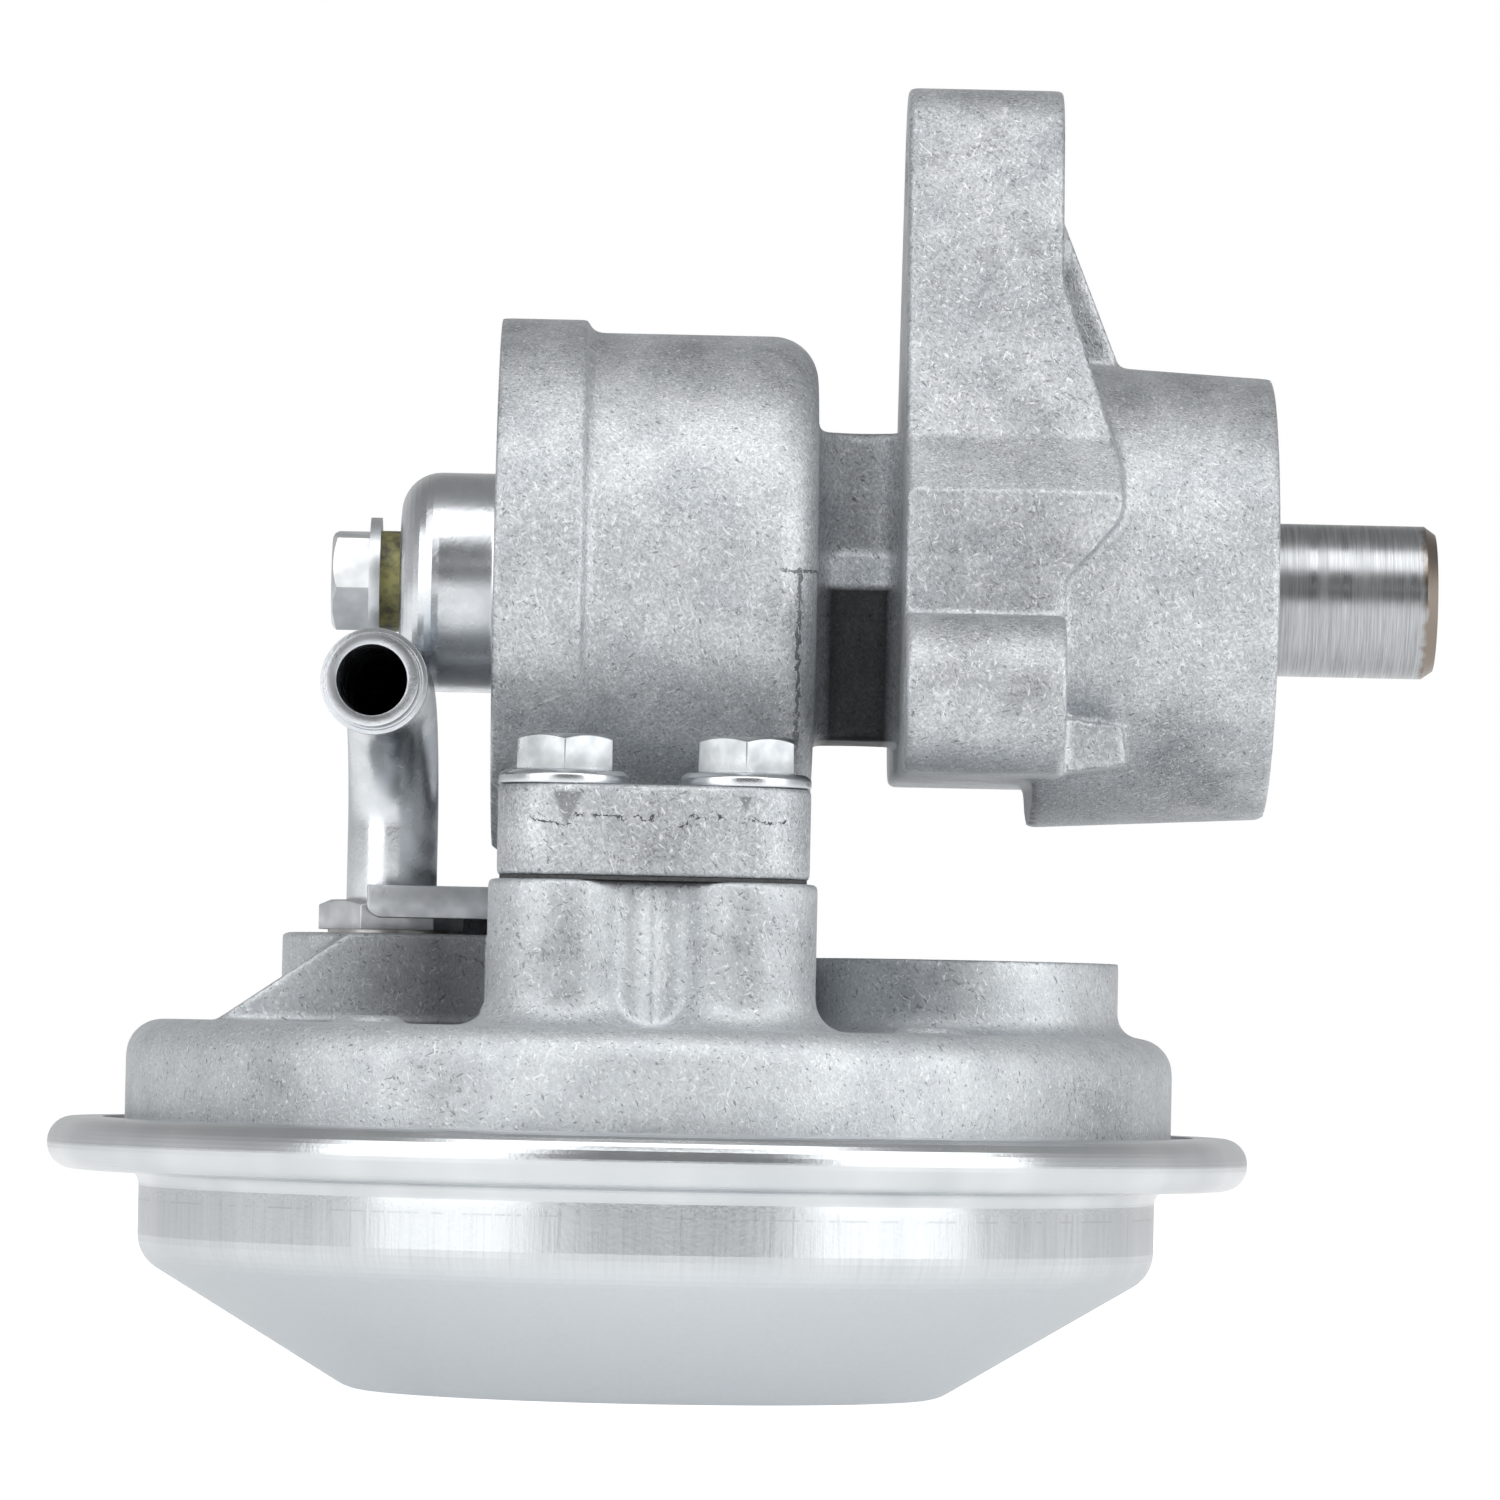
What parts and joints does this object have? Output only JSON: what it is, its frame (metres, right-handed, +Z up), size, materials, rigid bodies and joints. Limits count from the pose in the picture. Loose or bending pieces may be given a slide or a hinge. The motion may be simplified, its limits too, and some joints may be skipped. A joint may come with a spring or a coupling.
{
  "type": "engine vacuum pump",
  "caption": "Shaft-driven diaphragm vacuum pump for an engine: drawn steel can, cast diaphragm housing and crankcase with bracket and bearing nose, inlet hose stub.",
  "frame": {"origin": "centre of the can's flat bottom, on the axis of the diaphragm", "axes": "+X along the drive shaft towards its free end, +Z up along the diaphragm's axis"},
  "size_m": [0.1526, 0.133, 0.1457],
  "materials": {
    "cast_aluminium": "die cast, tumbled satin",
    "can_steel": "drawn and zinc plated",
    "zinc_steel": "bright zinc plated",
    "grey_steel": "pressed, grey zinc",
    "ground_steel": "ground",
    "ball_steel": "polished",
    "cage_brass": "machined brass",
    "shield_steel": "pressed",
    "spring_steel": "phosphated",
    "crank_iron": "machined iron",
    "forged_rod": "cast, machined eye",
    "plate_aluminium": "turned",
    "plate_steel": "pressed, zinc plated",
    "diaphragm_rubber": "fabric backed rubber",
    "valve_rubber": "moulded",
    "seal_rubber": "moulded, brown",
    "olive_seal": "moulded, olive",
    "gasket_fibre": "compressed fibre",
    "washer_copper": "tinned soft copper",
    "valve_brass": "turned brass",
    "filter_foam": "open foam"
  },
  "bodies": {
    "root": {"base_gasket": "gasket_fibre", "boot_ring": "zinc_steel", "clamp_bolts": "zinc_steel", "clamp_washers": "zinc_steel", "diaphragm": "diaphragm_rubber", "diaphragm_housing": "cast_aluminium", "front_outer_race": "ground_steel", "front_shields": "shield_steel", "inlet_fitting": "zinc_steel", "inlet_tube": "zinc_steel", "inlet_valve_cage": "valve_brass", "inlet_valve_seat": "valve_brass", "inlet_valve_spring": "spring_steel", "inlet_washer": "washer_copper", "lock_plate": "grey_steel", "lock_plate_screw": "zinc_steel", "lower_cover": "can_steel", "main_housing": "cast_aluminium", "nose_circlip": "spring_steel", "outlet_cap": "zinc_steel", "outlet_filter": "filter_foam", "outlet_valve_cage": "valve_brass", "outlet_valve_seat": "valve_brass", "outlet_valve_spring": "spring_steel", "plug_bolt": "zinc_steel", "plug_nut": "zinc_steel", "plug_seal": "olive_seal", "rear_cover": "zinc_steel", "rear_outer_race": "ground_steel", "rear_shields": "shield_steel", "rod_boot": "diaphragm_rubber", "shaft_seal": "seal_rubber"},
    "shaft": {"drive_shaft": "ground_steel", "crank": "crank_iron", "crank_circlip": "spring_steel", "shaft_circlip": "spring_steel", "bearing_spacer": "ground_steel", "front_inner_race": "ground_steel", "rear_inner_race": "ground_steel", "big_end_inner_race": "ground_steel"},
    "rod": {"connecting_rod": "forged_rod", "big_end_outer_race": "ground_steel", "upper_plate": "plate_aluminium", "lower_plate": "plate_steel", "diaphragm_screw": "zinc_steel", "screw_washer": "zinc_steel"},
    "front_ball_set": {"front_balls": "ball_steel", "front_cage": "cage_brass"},
    "rear_ball_set": {"rear_balls": "ball_steel", "rear_cage": "cage_brass"},
    "big_end_ball_set": {"big_end_balls": "ball_steel", "big_end_cage": "cage_brass"},
    "inlet_valve": {"inlet_valve_disc": "valve_rubber"},
    "outlet_valve": {"outlet_valve_disc": "valve_rubber"}
  },
  "joints": [
    {"name": "shaft_spin", "type": "hinge", "parent": "root", "child": "shaft", "pos_m": [0, 0, 0.0895], "axis": [1, 0, 0], "continuous": true},
    {"name": "rod_orbit", "type": "hinge", "parent": "shaft", "child": "rod", "pos_m": [0, 0, 0.0865], "axis": [1, 0, 0], "continuous": true, "deforming": ["diaphragm", "rod_boot"]},
    {"name": "front_balls_roll", "type": "hinge", "parent": "root", "child": "front_ball_set", "pos_m": [0.0576, 0, 0.0895], "axis": [1, 0, 0], "continuous": true},
    {"name": "rear_balls_roll", "type": "hinge", "parent": "root", "child": "rear_ball_set", "pos_m": [0.037, 0, 0.0895], "axis": [1, 0, 0], "continuous": true},
    {"name": "big_end_balls_roll", "type": "hinge", "parent": "shaft", "child": "big_end_ball_set", "pos_m": [0, 0, 0.0865], "axis": [1, 0, 0], "continuous": true},
    {"name": "inlet_valve_lift", "type": "slide", "parent": "root", "child": "inlet_valve", "axis": [0, 0, -1], "range_m": [0, 0.0013], "stiffness_N_per_m": 60, "deforming": ["inlet_valve_spring"]},
    {"name": "outlet_valve_lift", "type": "slide", "parent": "root", "child": "outlet_valve", "axis": [0, 0, 1], "range_m": [0, 0.0013], "stiffness_N_per_m": 60, "deforming": ["outlet_valve_spring"]}
  ],
  "couplings": [
    {"joint": "rod_orbit", "follows": "shaft_spin", "ratio": -1},
    {"joint": "front_balls_roll", "follows": "shaft_spin", "ratio": 0.38298},
    {"joint": "rear_balls_roll", "follows": "shaft_spin", "ratio": 0.39962},
    {"joint": "big_end_balls_roll", "follows": "shaft_spin", "ratio": -0.63182}
  ]
}
